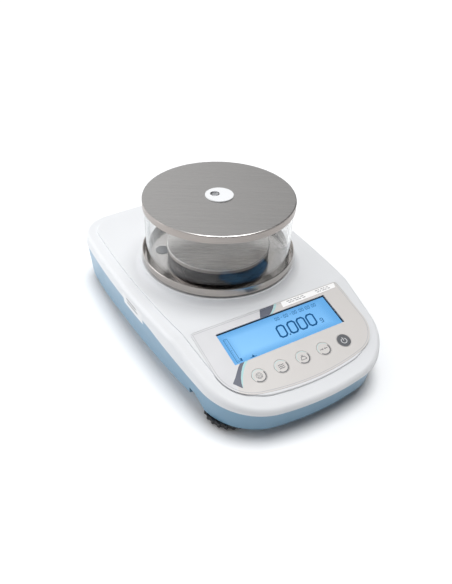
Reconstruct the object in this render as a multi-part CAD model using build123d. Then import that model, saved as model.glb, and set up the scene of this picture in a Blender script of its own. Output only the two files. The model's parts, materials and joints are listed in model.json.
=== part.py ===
from build123d import *
import os
from math import cos, hypot, pi, radians, sin, tan

os.makedirs("parts", exist_ok=True)

# ------------------------------------------------------------------ driving dimensions (mm)
# Origin: on the table under the middle of the body. +Y points to the rear, the panel faces -Y.

# Body outline seen from above: four shallow arcs with rounded corners, at the plateau's edge
SIDE_HALF = 93.2
SIDE_ARC_R = 1100.0
SIDE_WIDEST_Y = 54.0
FRONT_Y = -152.2
FRONT_ARC_R = 265.0
REAR_Y = 154.6
REAR_ARC_R = 620.0
FRONT_CORNER_R = 46.0
REAR_CORNER_R = 25.0

# Levels above the table
PLATEAU_Z = 61.5
LEDGE_DROP = 1.8
BOSS_TOP_Z = 69.0
SPLIT_Z = 47.8
SPLIT_BEND_Y = -25.0
SPLIT_TILT = 7.2
SPLIT_BEND_R = 120.0
SIDE_EDGE_Z = 13.8
NOTCH_Z = 20.3
NOTCH_REAR_Y = -90.0
FRONT_POD_SLOPE_Y = (-98.0, -111.0)
REAR_POD_SLOPE_Y = (30.0, 94.0)
REAR_POD_FRONT_Y = 44.0
FAR = 260.0
BELLY_Z = 8.5

# Sloping control panel at the front
BEND_Y = -65.5
PANEL_TILT = 14.0
BEND_R = 22.0

# How far each line of the body stands outside the plateau's edge
SHELL_GROW_TOP = 12.3
SHELL_SLANT = tan(radians(4.0))
SHOULDER_R = 4.2
REVEAL = 0.6
TRAY_SLANT = tan(radians(5.2))
WALL = 2.6
ROOF = 4.5

# Round weighing chamber
DISH_Y = 22.5
DISH_R = 77.2
DISH_Z = 70.0
DISH_RIM_H = 9.0
SHEET = 0.9
LID_R = 75.0
LID_TOP_Z = 135.6
LID_RIM_H = 7.6
GLASS_R = 73.3
GLASS_T = 2.6
PAN_R = 52.5
PAN_TOP_Z = 84.1
PAN_RIM_H = 4.2
RING_R = 51.8
PLUG_R = 7.2
PLUG_XY = (-49.5, 29.5)
INSERT_R = 14.0
DIMPLE_R = 4.4
DIMPLE_XY = (-3.4, 3.2)

# Panel layout: distances are measured down the slope from the bend line
OVERLAY_X = 1.0
OVERLAY_HALF = 82.0
OVERLAY_TOP = 2.6
OVERLAY_BOTTOM = 87.0
OVERLAY_ARC_R = 250.0
OVERLAY_CORNER_R = 34.0
FILM = 0.5
DISPLAY_X = 0.6
DISPLAY_MID = 29.7
DISPLAY_W = 121.4
DISPLAY_H = 35.4
DISPLAY_SINK = 2.6
KEY_COUNT = 5
KEY_PITCH = 23.3
KEY_ROW = 65.0
KEY_R = 6.9
KEY_GAP = 0.3
BOARD_DEPTH = 9.6

# Levelling feet
FOOT_FRONT = (66.0, -116.5)
FOOT_REAR = (66.0, 116.0)
FOOT_R = 24.5
FOOT_LOBES = 22
LOBE_R = 2.0
PAD_R = 10.5
PAD_H = 3.0
WHEEL_H = 4.8
STUD_R = 3.0
STUD_TOP_Z = 29.0
RUNNING = 0.08

# Inside
CELL_SIZE = (28.0, 118.0, 20.0)
CELL_Y = 16.0
CELL_Z = 25.0
BOARD_T = 1.6
SCREW_R = 1.5
HEAD_R = 2.9
HOUSING_SCREW_REAR = (84.0, 84.0, 12.0)
HOUSING_SCREW_MIDDLE = (86.0, -20.0, 12.0)
HOUSING_SCREW_FRONT = (48.0, -150.0, 12.0)
SIGNAL_X = (-58.0, -27.0)
SIGNAL_Z = 34.0
MAIN_BOARD_Z = 24.0
PLATE_Y = 157.0
CONNECTOR_X = (-46.0, 46.0)
CONNECTOR_Z = (21.8, 43.0)
SOCKET_X = 29.0
SERIAL_X = -18.0
SOCKET_Z = 32.4
LEVEL_XY = (70.0, 126.0)
LEVEL_R = 8.0


# ------------------------------------------------------------------ shared shapes
def save(name, *solids):
    """Writes one node; several solids in a node are identical or lie apart."""
    shape = solids[0] if len(solids) == 1 else Compound(children=list(solids))
    export_step(shape, f"parts/{name}.step")


def largest(shape):
    """The main solid of a cut shape, without the crumbs that the cut leaves."""
    return max(shape.solids(), key=lambda solid: solid.volume)


def outline(grow, z=0.0):
    """Body outline as a flat face at height z, moved outward everywhere by grow."""
    side = Circle(SIDE_ARC_R + grow)
    side_x = SIDE_HALF - SIDE_ARC_R
    left = Pos(-side_x, SIDE_WIDEST_Y) * side
    right = Pos(side_x, SIDE_WIDEST_Y) * side
    front = Pos(0, FRONT_Y + FRONT_ARC_R) * Circle(FRONT_ARC_R + grow)
    rear = Pos(0, REAR_Y - REAR_ARC_R) * Circle(REAR_ARC_R + grow)
    shape = left & right & front & rear
    corners = shape.vertices().sort_by(Axis.Y)
    shape = fillet(corners[:2], FRONT_CORNER_R + grow)
    corners = [v for v in shape.vertices() if v.Y > REAR_Y - 40]
    shape = fillet(corners, REAR_CORNER_R + grow)
    return Pos(0, 0, z) * shape.faces()[0]


def tapered(low_z, low_grow, high_z, high_grow):
    """Closed solid of the body outline, from one level and size to another."""
    return loft([outline(low_grow, low_z), outline(high_grow, high_z)], ruled=True)


def under_profile(points, bend_r=0.0):
    """Everything below a line drawn in side view as (y, z) points."""
    floor = [(points[-1][0], -60.0), (points[0][0], -60.0)]
    face = make_face(Polyline(*points, *floor, close=True))
    if bend_r:
        bends = [v for v in face.vertices() if any(hypot(v.X - y, v.Y - z) < 0.01 for y, z in points[1:-1])]
        face = fillet(bends, bend_r)
    return extrude(Plane.YZ * face, 160, both=True)


def under_roof(drop):
    """Everything below the roof line, level at the rear and sloping at the panel, lowered by drop."""
    top = PLATEAU_Z - drop
    front = top - (FAR + BEND_Y) * tan(radians(PANEL_TILT))
    return under_profile([(-FAR, front), (BEND_Y, top), (FAR, top)], BEND_R)


def under_split():
    """Everything below the line where the upper shell meets the tray."""
    front = SPLIT_Z - (FAR + SPLIT_BEND_Y) * tan(radians(SPLIT_TILT))
    return under_profile([(-FAR, front), (SPLIT_BEND_Y, SPLIT_Z), (FAR, SPLIT_Z)], SPLIT_BEND_R)


def shell_grow(z):
    return SHELL_GROW_TOP + SHELL_SLANT * (PLATEAU_Z - LEDGE_DROP - z)


def tray_grow(z):
    return shell_grow(SPLIT_Z) - REVEAL - TRAY_SLANT * (SPLIT_Z - z)


def box(x0, x1, y0, y1, z0, z1):
    return Pos((x0 + x1) / 2, (y0 + y1) / 2, (z0 + z1) / 2) * Box(x1 - x0, y1 - y0, z1 - z0)


def rod(radius, z0, z1, x=0.0, y=0.0):
    return Pos(x, y, (z0 + z1) / 2) * Cylinder(radius, z1 - z0)


def turned(points, y=DISH_Y):
    """Solid of revolution about the chamber's axis from (radius, z) points."""
    return Pos(0, y, 0) * revolve(Plane.XZ * make_face(Polyline(*points, close=True)), Axis.Z)


PANEL = Plane(
    origin=(0, BEND_Y, PLATEAU_Z),
    x_dir=(1, 0, 0),
    z_dir=(0, -sin(radians(PANEL_TILT)), cos(radians(PANEL_TILT))),
)


def on_panel(x, down, depth=0.0):
    """Place on the panel: x across, down the slope, and depth below its surface."""
    return PANEL * Pos(x, -down, -depth)


def panel_plate(x, down, width, height, top, bottom, corner=0.0):
    """Plate parallel to the panel between two depths below its surface."""
    face = RectangleRounded(width, height, corner) if corner else Rectangle(width, height)
    return on_panel(x, down, bottom) * extrude(face, bottom - top)


def panel_rod(x, down, radius, top, bottom):
    return on_panel(x, down, (top + bottom) / 2) * Cylinder(radius, bottom - top)


def key_places():
    middle = (KEY_COUNT - 1) / 2
    return [DISPLAY_X + (i - middle) * KEY_PITCH for i in range(KEY_COUNT)]


def foot_places():
    fx, fy = FOOT_FRONT
    rx, ry = FOOT_REAR
    return {
        "front_left": (-fx, fy),
        "front_right": (fx, fy),
        "rear_left": (-rx, ry),
        "rear_right": (rx, ry),
    }


def screw(x, y, z_head, length, head_r=HEAD_R, shank_r=SCREW_R):
    """Pan-head screw standing on its shank, head down at z_head, shank upward."""
    head = fillet((rod(head_r, z_head, z_head + 2.0, x, y)).edges().sort_by(Axis.Z)[:1], 0.7)
    slot = box(x - head_r, x + head_r, y - 0.4, y + 0.4, z_head - 0.1, z_head + 0.9)
    return head + rod(shank_r, z_head + 1.9, z_head + 2.0 + length, x, y) - slot


# ------------------------------------------------------------------ casings
def overlay_outline(grow=0.0):
    """Printed film outline: straight top edge, rounded foot following the body's front."""
    bottom = Pos(0, -OVERLAY_BOTTOM + OVERLAY_ARC_R) * Circle(OVERLAY_ARC_R + grow)
    strip_h = OVERLAY_BOTTOM - OVERLAY_TOP + 20
    strip = Pos(0, -OVERLAY_TOP - strip_h / 2 + grow) * Rectangle(2 * (OVERLAY_HALF + grow), strip_h)
    shape = strip & bottom
    low = [v for v in shape.vertices() if v.Y < -OVERLAY_TOP - 20]
    shape = fillet(low, OVERLAY_CORNER_R + grow)
    high = [v for v in shape.vertices() if v.Y > -OVERLAY_TOP - 5]
    return Pos(OVERLAY_X, 0) * fillet(high, 3.0)


def upper_housing():
    """White shell: stepped plateau, sloping panel, round boss for the chamber, shoulder all round."""
    low = 8.0
    top = PLATEAU_Z + 5
    shell = tapered(low, shell_grow(low), top, shell_grow(top)) & under_roof(LEDGE_DROP)
    rim = [e for e in shell.edges() if e.bounding_box().min.Z > low + 1]
    shell = fillet(rim, SHOULDER_R)
    plateau = extrude(outline(0, low), top - low) & under_roof(0)
    crown = [e for e in plateau.edges() if e.bounding_box().min.Z > low + 1]
    shell += fillet(crown, 0.9)
    fillet_r = BOSS_TOP_Z - PLATEAU_Z - 0.6
    boss_r = DISH_R + 1.6
    with BuildLine() as curve:
        Polyline((0, PLATEAU_Z - 3), (0, BOSS_TOP_Z), (boss_r - 0.8, BOSS_TOP_Z))
        ThreePointArc(
            (boss_r - 0.8, BOSS_TOP_Z),
            (boss_r - 0.8 + 0.8 * sin(pi / 4), BOSS_TOP_Z - 0.8 + 0.8 * cos(pi / 4)),
            (boss_r, BOSS_TOP_Z - 0.8),
        )
        Line((boss_r, BOSS_TOP_Z - 0.8), (boss_r, PLATEAU_Z + fillet_r))
        ThreePointArc(
            (boss_r, PLATEAU_Z + fillet_r),
            (boss_r + fillet_r * (1 - cos(pi / 4)), PLATEAU_Z + fillet_r * (1 - sin(pi / 4))),
            (boss_r + fillet_r, PLATEAU_Z),
        )
        Polyline(
            (boss_r + fillet_r, PLATEAU_Z),
            (boss_r + fillet_r, PLATEAU_Z - 3),
            (0, PLATEAU_Z - 3),
        )
    shell += Pos(0, DISH_Y, 0) * revolve(Plane.XZ * make_face(curve.line), Axis.Z)
    inner = tapered(low - 1, shell_grow(low) - WALL, top, shell_grow(top) - WALL - 2.2)
    shell -= inner & under_roof(ROOF)
    shell -= rod(DISH_R - 4, PLATEAU_Z - ROOF - 1, BOSS_TOP_Z - 3, 0, DISH_Y)
    shell -= under_split()
    shell -= rod(10.5, BOSS_TOP_Z - 5, BOSS_TOP_Z + 1, 0, DISH_Y)
    shell -= on_panel(0, 0, FILM) * extrude(overlay_outline(0.25), 3)
    shell -= panel_plate(DISPLAY_X, DISPLAY_MID, DISPLAY_W, DISPLAY_H, -1, 12)
    shell -= panel_plate(DISPLAY_X, DISPLAY_MID, DISPLAY_W + 5, DISPLAY_H + 5, -1, FILM + 1.1)
    shell -= panel_plate(DISPLAY_X, DISPLAY_MID, DISPLAY_W + 4, DISPLAY_H + 4, DISPLAY_SINK - 0.1, 12)
    for x in key_places():
        shell -= panel_rod(x, KEY_ROW, KEY_R + KEY_GAP, -1, 1.5)
        shell -= panel_rod(x, KEY_ROW, 3.1, 0, 12)
    for x, y, _ in housing_screw_places():
        post = rod(4.0, SPLIT_Z - 20, PLATEAU_Z - 3, x, y) & under_roof(ROOF - 1)
        shell += post - under_split()
        shell -= rod(SCREW_R, 0, SPLIT_Z + 9, x, y) & under_roof(ROOF + 1)
    for x, down in board_posts():
        shell += panel_rod(x, down, 3.4, ROOF - 1.2, BOARD_DEPTH)
        shell -= panel_rod(x, down, 1.1, ROOF - 1.0, BOARD_DEPTH + 1)
    shell -= rod(LEVEL_R + 0.3, PLATEAU_Z - 12, PLATEAU_Z + 1, *LEVEL_XY)
    return shell


def lower_housing():
    """Coloured tray: walls tucked in towards the bottom, side edges raised between the foot pods."""
    top = SPLIT_Z + 1
    wall = tapered(BELLY_Z, tray_grow(BELLY_Z), top, tray_grow(top)) & under_split()
    belly = tapered(BELLY_Z, -9.0, SIDE_EDGE_Z, tray_grow(SIDE_EDGE_Z))
    belly += tapered(SIDE_EDGE_Z, tray_grow(SIDE_EDGE_Z), top, tray_grow(top))
    notch = box(-130, 130, FRONT_POD_SLOPE_Y[1], NOTCH_REAR_Y, -5, NOTCH_Z)
    notch -= tapered(BELLY_Z - 20, 4.0, NOTCH_Z + 1, 4.0)
    tray = (wall & belly) - notch + front_pods(wall) + rear_pods(wall)
    inner_low = SIDE_EDGE_Z + 2.6
    inner_grow = tray_grow(inner_low) - WALL
    tray -= tapered(inner_low, inner_grow, top + 4, tray_grow(top) - WALL)
    tray -= tapered(BELLY_Z + WALL, -12.0, inner_low + 0.01, inner_grow)
    for x, y in foot_places().values():
        tray += rod(8.0, BELLY_Z, STUD_TOP_Z + 2, x, y)
        tray -= rod(5.0, BELLY_Z - 1, STUD_TOP_Z + 3, x, y)
    for x, y, z in housing_screw_places():
        tray += rod(4.6, z, SPLIT_Z + 1, x, y) & under_split()
        tray -= rod(HEAD_R + 0.6, -1, z + 2.2, x, y)
        tray -= rod(SCREW_R + 0.25, 0, SPLIT_Z + 2, x, y)
    for x, y in main_board_posts():
        tray += rod(3.2, BELLY_Z + 1, MAIN_BOARD_Z, x, y)
        tray -= rod(1.1, BELLY_Z + WALL, MAIN_BOARD_Z + 1, x, y)
    x0, x1 = CONNECTOR_X
    z0, z1 = CONNECTOR_Z
    recess = box(x0 + 3, x1 - 3, REAR_Y - 10, REAR_Y + 30, z0 + 2, z1 - 2)
    tray -= recess
    tray += box(x0 - 1, x1 + 1, PLATE_Y + 1.3, REAR_Y + 10, z0 - 1, z1 + 1) & solid_tray_rear(top)
    tray -= recess
    for x, y in mechanism_screw_places():
        tray -= rod(SCREW_R + 0.4, 0, 20, x, y)
    return largest(tray)


def front_pods(wall):
    """The tray's front, full height, with the slope that leads down to the front feet."""
    high, low = FRONT_POD_SLOPE_Y
    side = [(-FAR, 60.0), (high, 60.0), (high, NOTCH_Z), (low, BELLY_Z - 0.1), (low - 2.0, -20.0)]
    return wall & under_profile(side)


def rear_pods(wall):
    """The tray's rear, where the side edge falls gently to the rear feet."""
    high, low = REAR_POD_SLOPE_Y
    edge_line = under_profile([(high, SIDE_EDGE_Z + 1.2), (low, BELLY_Z - 0.1), (FAR, BELLY_Z - 0.1)])
    return (wall & box(-130, 130, REAR_POD_FRONT_Y, FAR, 0, 60)) - edge_line


def solid_tray_rear(top):
    """Solid of the tray's rear wall, used to back the connector plate."""
    return tapered(BELLY_Z, tray_grow(BELLY_Z) - 0.5, top, tray_grow(top) - 0.5)


def housing_screw_places():
    """x, y and the underside level of the six screws that hold the casings together."""
    return [
        (sx * x, y, z)
        for x, y, z in (HOUSING_SCREW_REAR, HOUSING_SCREW_MIDDLE, HOUSING_SCREW_FRONT)
        for sx in (-1, 1)
    ]


def housing_screws():
    """Six screws, shorter at the front, where the split line is lower."""
    front_y = HOUSING_SCREW_FRONT[1]
    return [
        screw(x, y, z + 0.2, (SPLIT_Z - 13.8 if y == front_y else SPLIT_Z + 4) - z - 2)
        for x, y, z in housing_screw_places()
    ]


# ------------------------------------------------------------------ panel
def keypad_overlay():
    film = on_panel(0, 0, FILM - 0.02) * extrude(overlay_outline(), FILM - 0.04)
    film -= panel_plate(DISPLAY_X, DISPLAY_MID, DISPLAY_W, DISPLAY_H, -1, 2)
    for x in key_places():
        film -= panel_rod(x, KEY_ROW, KEY_R + KEY_GAP, -1, 2)
    return film


def key(x):
    """Round key: printed disc flush with the film, and the stem that works its switch."""
    disc = panel_rod(x, KEY_ROW, KEY_R, 0.02, 0.9)
    return disc + panel_rod(x, KEY_ROW, 2.5, 0.8, 5.2)


def display_window():
    return panel_plate(DISPLAY_X, DISPLAY_MID, DISPLAY_W + 4.4, DISPLAY_H + 4.4, FILM + 0.02, FILM + 1.0)


def lcd_glass():
    return panel_plate(DISPLAY_X, DISPLAY_MID, DISPLAY_W + 3.2, DISPLAY_H + 3.2, DISPLAY_SINK, 4.8)


def lcd_backlight():
    return panel_plate(DISPLAY_X, DISPLAY_MID, DISPLAY_W + 3.0, DISPLAY_H + 3.0, 4.9, 8.4)


def lcd_frame():
    """Pressed steel frame that clamps the display and its light guide to the board."""
    outer = panel_plate(DISPLAY_X, DISPLAY_MID, DISPLAY_W + 8, DISPLAY_H + 8, 5.0, 9.5, 1.5)
    return outer - panel_plate(DISPLAY_X, DISPLAY_MID, DISPLAY_W + 3.6, DISPLAY_H + 3.6, 4, 10)


def board_posts():
    return [(sx * 72.0, down) for sx in (-1, 1) for down in (12.0, 70.0)]


def display_board():
    board = panel_plate(0, 41.0, 154.0, 66.0, BOARD_DEPTH, BOARD_DEPTH + BOARD_T, 3)
    for x, down in board_posts():
        board -= panel_rod(x, down, 1.6, BOARD_DEPTH - 1, BOARD_DEPTH + 3)
    return board


def display_screws():
    screws = []
    for x, down in board_posts():
        head = panel_rod(x, down, HEAD_R, BOARD_DEPTH + BOARD_T + 0.02, BOARD_DEPTH + BOARD_T + 1.8)
        screws.append(head + panel_rod(x, down, 1.0, BOARD_DEPTH - 4, BOARD_DEPTH + BOARD_T + 1))
    return screws


def key_switches():
    """One push switch under each key: square body with a short round button."""
    switches = []
    for x in key_places():
        body = panel_plate(x, KEY_ROW, 6.0, 6.0, 6.4, BOARD_DEPTH - 0.02)
        switches.append(body + panel_rod(x, KEY_ROW, 1.6, 5.85, 6.5))
    return switches


def display_ribbon():
    """Flat lead from the display board down past the load cell and back to the main board."""
    run = [(-88.0, 38.0), (-80.0, 30.5), (88.0, 30.5), (96.0, 33.2), (101.0, 33.2)]
    band = make_face(Polyline(*run, *[(y, z - 0.5) for y, z in reversed(run)], close=True))
    return extrude(Plane.YZ.offset(22.0) * band, 12.0)


# ------------------------------------------------------------------ chamber
def chamber_floor():
    """Stainless dish: flat floor, rolled corner and upright rim, with a hole for the spindle."""
    z = DISH_Z
    dish = turned([
        (9.0, z), (DISH_R - 1.2, z), (DISH_R, z + 1.2), (DISH_R, z + DISH_RIM_H - 0.25),
        (DISH_R - 0.25, z + DISH_RIM_H), (DISH_R - SHEET, z + DISH_RIM_H),
        (DISH_R - SHEET, z + 1.6), (DISH_R - SHEET - 0.7, z + SHEET), (9.0, z + SHEET),
    ])
    return dish - rod(PLUG_R - 2.5, z - 1, z + 2, PLUG_XY[0], PLUG_XY[1] + DISH_Y)


def floor_gasket():
    """Foam ring that lifts the dish off the boss and leaves a shadow gap round it."""
    return turned([(66.0, BOSS_TOP_Z), (74.0, BOSS_TOP_Z), (74.0, DISH_Z), (66.0, DISH_Z)])


def floor_plug():
    """Flat grey plug in the dish floor."""
    x, y = PLUG_XY[0], PLUG_XY[1] + DISH_Y
    head = rod(PLUG_R, DISH_Z + SHEET, DISH_Z + SHEET + 0.8, x, y)
    head = fillet(head.edges().sort_by(Axis.Z)[-1:], 0.4)
    head -= rod(RING_R + 0.3, DISH_Z, DISH_Z + 4, 0, DISH_Y)
    return head + rod(PLUG_R - 2.8, BOSS_TOP_Z + 0.1, DISH_Z + SHEET + 0.1, x, y)


def draft_ring():
    """Polished ring round the spindle that keeps draughts from under the pan."""
    z = DISH_Z + SHEET
    neck = RING_R - 1.5
    with BuildLine() as curve:
        Polyline((neck - 2.0, z + 8.2), (neck, z + 8.2), (neck, z + 7.0))
        ThreePointArc((neck, z + 7.0), (neck + 1.05, z + 4.0), (RING_R, z + 0.8))
        Polyline((RING_R, z + 0.8), (RING_R, z), (RING_R - 2.4, z), (neck - 2.0, z + 8.2))
    return Pos(0, DISH_Y, 0) * revolve(Plane.XZ * make_face(curve.line), Axis.Z)


def spindle_collar():
    """Raised collar that keeps spills out of the spindle hole."""
    z = DISH_Z + SHEET
    return turned([
        (7.5, BOSS_TOP_Z - 1), (8.9, BOSS_TOP_Z - 1), (8.9, z), (11.5, z), (10.5, z + 4.0), (7.5, z + 4.0),
    ])


def shield_glass():
    """Clear cylinder standing loose in the dish."""
    z0 = DISH_Z + SHEET + 0.1
    z1 = LID_TOP_Z - SHEET - 0.1
    tube = rod(GLASS_R, z0, z1, 0, DISH_Y) - rod(GLASS_R - GLASS_T, z0 - 1, z1 + 1, 0, DISH_Y)
    return fillet(tube.edges(), 0.4)


def shield_lid():
    """Brushed steel lid with a turned-down rim and a stamped ring line at its edge."""
    z = LID_TOP_Z
    lid = turned([
        (8.0, z - SHEET), (LID_R - SHEET - 0.6, z - SHEET), (LID_R - SHEET, z - SHEET - 0.6),
        (LID_R - SHEET, z - LID_RIM_H), (LID_R - 0.2, z - LID_RIM_H), (LID_R, z - LID_RIM_H + 0.2),
        (LID_R, z - 1.0), (LID_R - 0.3, z - 0.3), (LID_R - 1.0, z), (8.0, z),
    ])
    return lid


def lid_insert():
    """White plastic grip disc set in the lid, with an off-centre dimple."""
    z = LID_TOP_Z
    disc = rod(INSERT_R, z + 0.02, z + 1.1, 0, DISH_Y)
    disc = fillet(disc.edges().sort_by(Axis.Z)[-1:], 0.5)
    disc += rod(7.9, z - 3.6, z + 0.1, 0, DISH_Y)
    x, y = DIMPLE_XY
    dimple = rod(DIMPLE_R - 1.0, z - 2.2, z + 2, x, y + DISH_Y)
    dimple += Pos(x, y + DISH_Y, z + 0.25) * Cone(DIMPLE_R - 1.0, DIMPLE_R, 1.9)
    return disc - dimple


# ------------------------------------------------------------------ weighing mechanism
def weighing_pan():
    z = PAN_TOP_Z
    pan = turned([
        (0, z - SHEET), (PAN_R - SHEET - 0.6, z - SHEET), (PAN_R - SHEET, z - SHEET - 0.6),
        (PAN_R - SHEET, z - PAN_RIM_H), (PAN_R, z - PAN_RIM_H), (PAN_R, z - 1.0),
        (PAN_R - 0.3, z - 0.3), (PAN_R - 1.0, z), (0, z),
    ])
    hub = turned([(3.4, z - 2.5), (5.4, z - 2.5), (6.4, z - SHEET), (3.4, z - SHEET)])
    return pan + hub


def pan_support():
    """Four-armed carrier plate under the pan."""
    z = PAN_TOP_Z - SHEET - 3.6
    plate = rod(9.0, z, z + 1.8, 0, DISH_Y) - rod(4.2, z - 1, z + 3, 0, DISH_Y)
    arms = plate
    for turn in (45, 135):
        bar = Box(84, 9, 1.8) - Box(8.4, 8.4, 4)
        arms += Pos(0, DISH_Y, z + 0.9) * Rot(0, 0, turn) * bar
    return arms - rod(4.2, z - 1, z + 3, 0, DISH_Y)


def support_bumpers():
    z = PAN_TOP_Z - SHEET - 1.8
    bumpers = []
    for turn in range(4):
        a = radians(45 + 90 * turn)
        bumper = rod(3.6, z, z + 1.7, 38 * cos(a), DISH_Y + 38 * sin(a))
        bumpers.append(fillet(bumper.edges().sort_by(Axis.Z)[-1:], 0.6))
    return bumpers


def pan_spindle():
    """Spindle from the load adapter up through the floor, with a nose for the pan's hub."""
    foot_z = CELL_Z + CELL_SIZE[2] + 5.6
    plate_z = PAN_TOP_Z - SHEET - 3.6
    nose_z = PAN_TOP_Z - 1.2
    nose = turned([
        (0, plate_z), (4.2, plate_z), (4.2, plate_z + 1.8), (3.1, plate_z + 1.8), (2.6, nose_z), (0, nose_z),
    ])
    return nose + rod(6.0, foot_z, plate_z, 0, DISH_Y)


def load_adapter():
    """Plate from the free end of the cell back to the spindle on the chamber's axis."""
    z = CELL_Z + CELL_SIZE[2]
    front = CELL_Y - CELL_SIZE[1] / 2
    plate = box(-12, 12, front + 2, DISH_Y + 12, z + 1.6, z + 5.6)
    foot = box(-12, 12, front + 2, front + 24, z + 0.5, z + 2)
    return fillet((plate + foot).edges().filter_by(Axis.Z), 2.0)


def adapter_screws():
    z = CELL_Z + CELL_SIZE[2] + 5.6
    front = CELL_Y - CELL_SIZE[1] / 2
    return [rod(4.0, z + 0.02, z + 3.2, 0, front + y) - rod(1.6, z + 1.2, z + 4, 0, front + y) for y in (8, 18)]


def load_cell():
    """Bending-beam load cell: two thin bridges above and below a slotted window."""
    w, l, h = CELL_SIZE
    beam = box(-w / 2, w / 2, CELL_Y - l / 2, CELL_Y + l / 2, CELL_Z, CELL_Z + h)
    mid = CELL_Z + h / 2
    for y in (-18.0, 18.0):
        beam -= Pos(0, CELL_Y + y, mid) * Rot(0, 90, 0) * Cylinder(8.2, w + 2)
    beam -= box(-w, w, CELL_Y - 18, CELL_Y + 18, mid - 4, mid + 4)
    return fillet(beam.edges().filter_by(Axis.X).group_by(Axis.Y)[0], 1.0)


def mechanism_base():
    """Cast aluminium plate with the pedestal that holds the fixed end of the cell."""
    low = BELLY_Z + WALL + 0.05
    rear = CELL_Y + CELL_SIZE[1] / 2
    plate = box(-58, 58, DISH_Y - 66, DISH_Y + 64, low, low + 5)
    plate = fillet(plate.edges().filter_by(Axis.Z), 10)
    plate += box(-17, 17, rear - 30, rear, low + 4, CELL_Z)
    for sx in (-1, 1):
        plate += box(sx * 40 - 2, sx * 40 + 2, DISH_Y - 55, DISH_Y + 55, low + 4, low + 9)
    for x, y in mechanism_screw_places():
        plate -= rod(SCREW_R, low - 1, low + 8, x, y)
    return plate


def mechanism_screw_places():
    return [(sx * 50.0, DISH_Y + y) for sx in (-1, 1) for y in (-58.0, 56.0)]


def mechanism_screws():
    return [screw(x, y, BELLY_Z - 2.2, 7.0) for x, y in mechanism_screw_places()]


def cell_screws():
    rear = CELL_Y + CELL_SIZE[1] / 2
    z = CELL_Z + CELL_SIZE[2]
    return [rod(4.0, z + 0.02, z + 3.2, 0, rear - y) - rod(1.6, z + 1.2, z + 4, 0, rear - y) for y in (8, 20)]


def overload_stop():
    """Set screw in a bridge beside the cell that stops the adapter before the cell is overloaded."""
    low = BELLY_Z + WALL + 5.05
    z = CELL_Z + CELL_SIZE[2] + 1.6
    post = box(-25, -15.5, DISH_Y + 2, DISH_Y + 12, low, z - 5)
    return post + rod(2.5, z - 6, z - 0.45, -18.2, DISH_Y + 7)


def signal_board():
    return box(*SIGNAL_X, DISH_Y - 45, DISH_Y + 5, SIGNAL_Z, SIGNAL_Z + BOARD_T)


def signal_shield():
    """Pressed steel can over the amplifier."""
    low = SIGNAL_Z + BOARD_T
    can = fillet(box(*SIGNAL_X, DISH_Y - 40, DISH_Y - 8, low, low + 7.5).edges().filter_by(Axis.Z), 1.5)
    can &= box(SIGNAL_X[0] + 2.5, SIGNAL_X[1] - 2.5, DISH_Y - 45, DISH_Y, low, low + 8)
    return can - box(SIGNAL_X[0] + 3, SIGNAL_X[1] - 3, DISH_Y - 39.5, DISH_Y - 8.5, low - 1, low + 7)


def signal_posts():
    low = BELLY_Z + WALL + 5.05
    places = [(x, DISH_Y + y) for x in (SIGNAL_X[0] + 2.5, SIGNAL_X[1] - 2.5) for y in (-42.5, 2.5)]
    return [rod(2.2, low, SIGNAL_Z, x, y) for x, y in places]


# ------------------------------------------------------------------ rear electronics
def main_board_posts():
    return [(sx * 52.0, y) for sx in (-1, 1) for y in (102.0, 146.0)]


def main_board():
    board = box(-57, 57, 97, 152, MAIN_BOARD_Z, MAIN_BOARD_Z + BOARD_T)
    for x, y in main_board_posts():
        board -= rod(1.6, MAIN_BOARD_Z - 1, MAIN_BOARD_Z + 3, x, y)
    return board


def main_board_parts():
    """Processor, regulator, capacitors and connector on the main board."""
    z = MAIN_BOARD_Z + BOARD_T + 0.02
    chip = box(-14, 0, 112, 126, z, z + 1.6)
    regulator = box(-40, -30, 106, 110.5, z, z + 14)
    header = box(16, 40, 98, 103, z, z + 7)
    caps = [rod(4.0, z, z + 11, x, 118) for x in (18, 30)]
    return [chip, regulator, header, *caps]


def board_screws():
    screws = []
    for x, y in main_board_posts():
        z = MAIN_BOARD_Z + BOARD_T + 0.02
        screws.append(rod(HEAD_R, z, z + 1.8, x, y) + rod(1.0, z - 8, z + 0.1, x, y))
    return screws


def connector_panel():
    """Flat plate behind the rear opening that carries the power and data sockets."""
    x0, x1 = CONNECTOR_X
    z0, z1 = CONNECTOR_Z
    plate = box(x0, x1, PLATE_Y, PLATE_Y + 1.2, z0, z1)
    plate -= Pos(SOCKET_X, PLATE_Y, SOCKET_Z) * Rot(90, 0, 0) * Cylinder(5.6, 10)
    plate -= box(SERIAL_X - 10.2, SERIAL_X + 10.2, PLATE_Y - 2, PLATE_Y + 3, SOCKET_Z - 5.6, SOCKET_Z + 5.6)
    for sx in (-1, 1):
        plate -= Pos(SERIAL_X + sx * 12.5, PLATE_Y, SOCKET_Z) * Rot(90, 0, 0) * Cylinder(1.6, 10)
    return plate


def power_socket():
    """Round low-voltage inlet with a centre pin."""
    axis = Pos(SOCKET_X, 0, SOCKET_Z) * Rot(90, 0, 0)
    body = box(SOCKET_X - 4.5, SOCKET_X + 4.5, PLATE_Y - 12, PLATE_Y - 0.1, SOCKET_Z - 5.5, SOCKET_Z + 5.5)
    nose = Pos(SOCKET_X, PLATE_Y + 1.2, SOCKET_Z) * Rot(90, 0, 0) * Cylinder(5.4, 2.8)
    body = body + nose
    body -= Pos(SOCKET_X, PLATE_Y - 3.2, SOCKET_Z) * Rot(90, 0, 0) * Cylinder(3.2, 12)
    body += Pos(SOCKET_X, PLATE_Y - 5.2, SOCKET_Z) * Rot(90, 0, 0) * Cylinder(1.0, 9)
    return body


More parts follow.
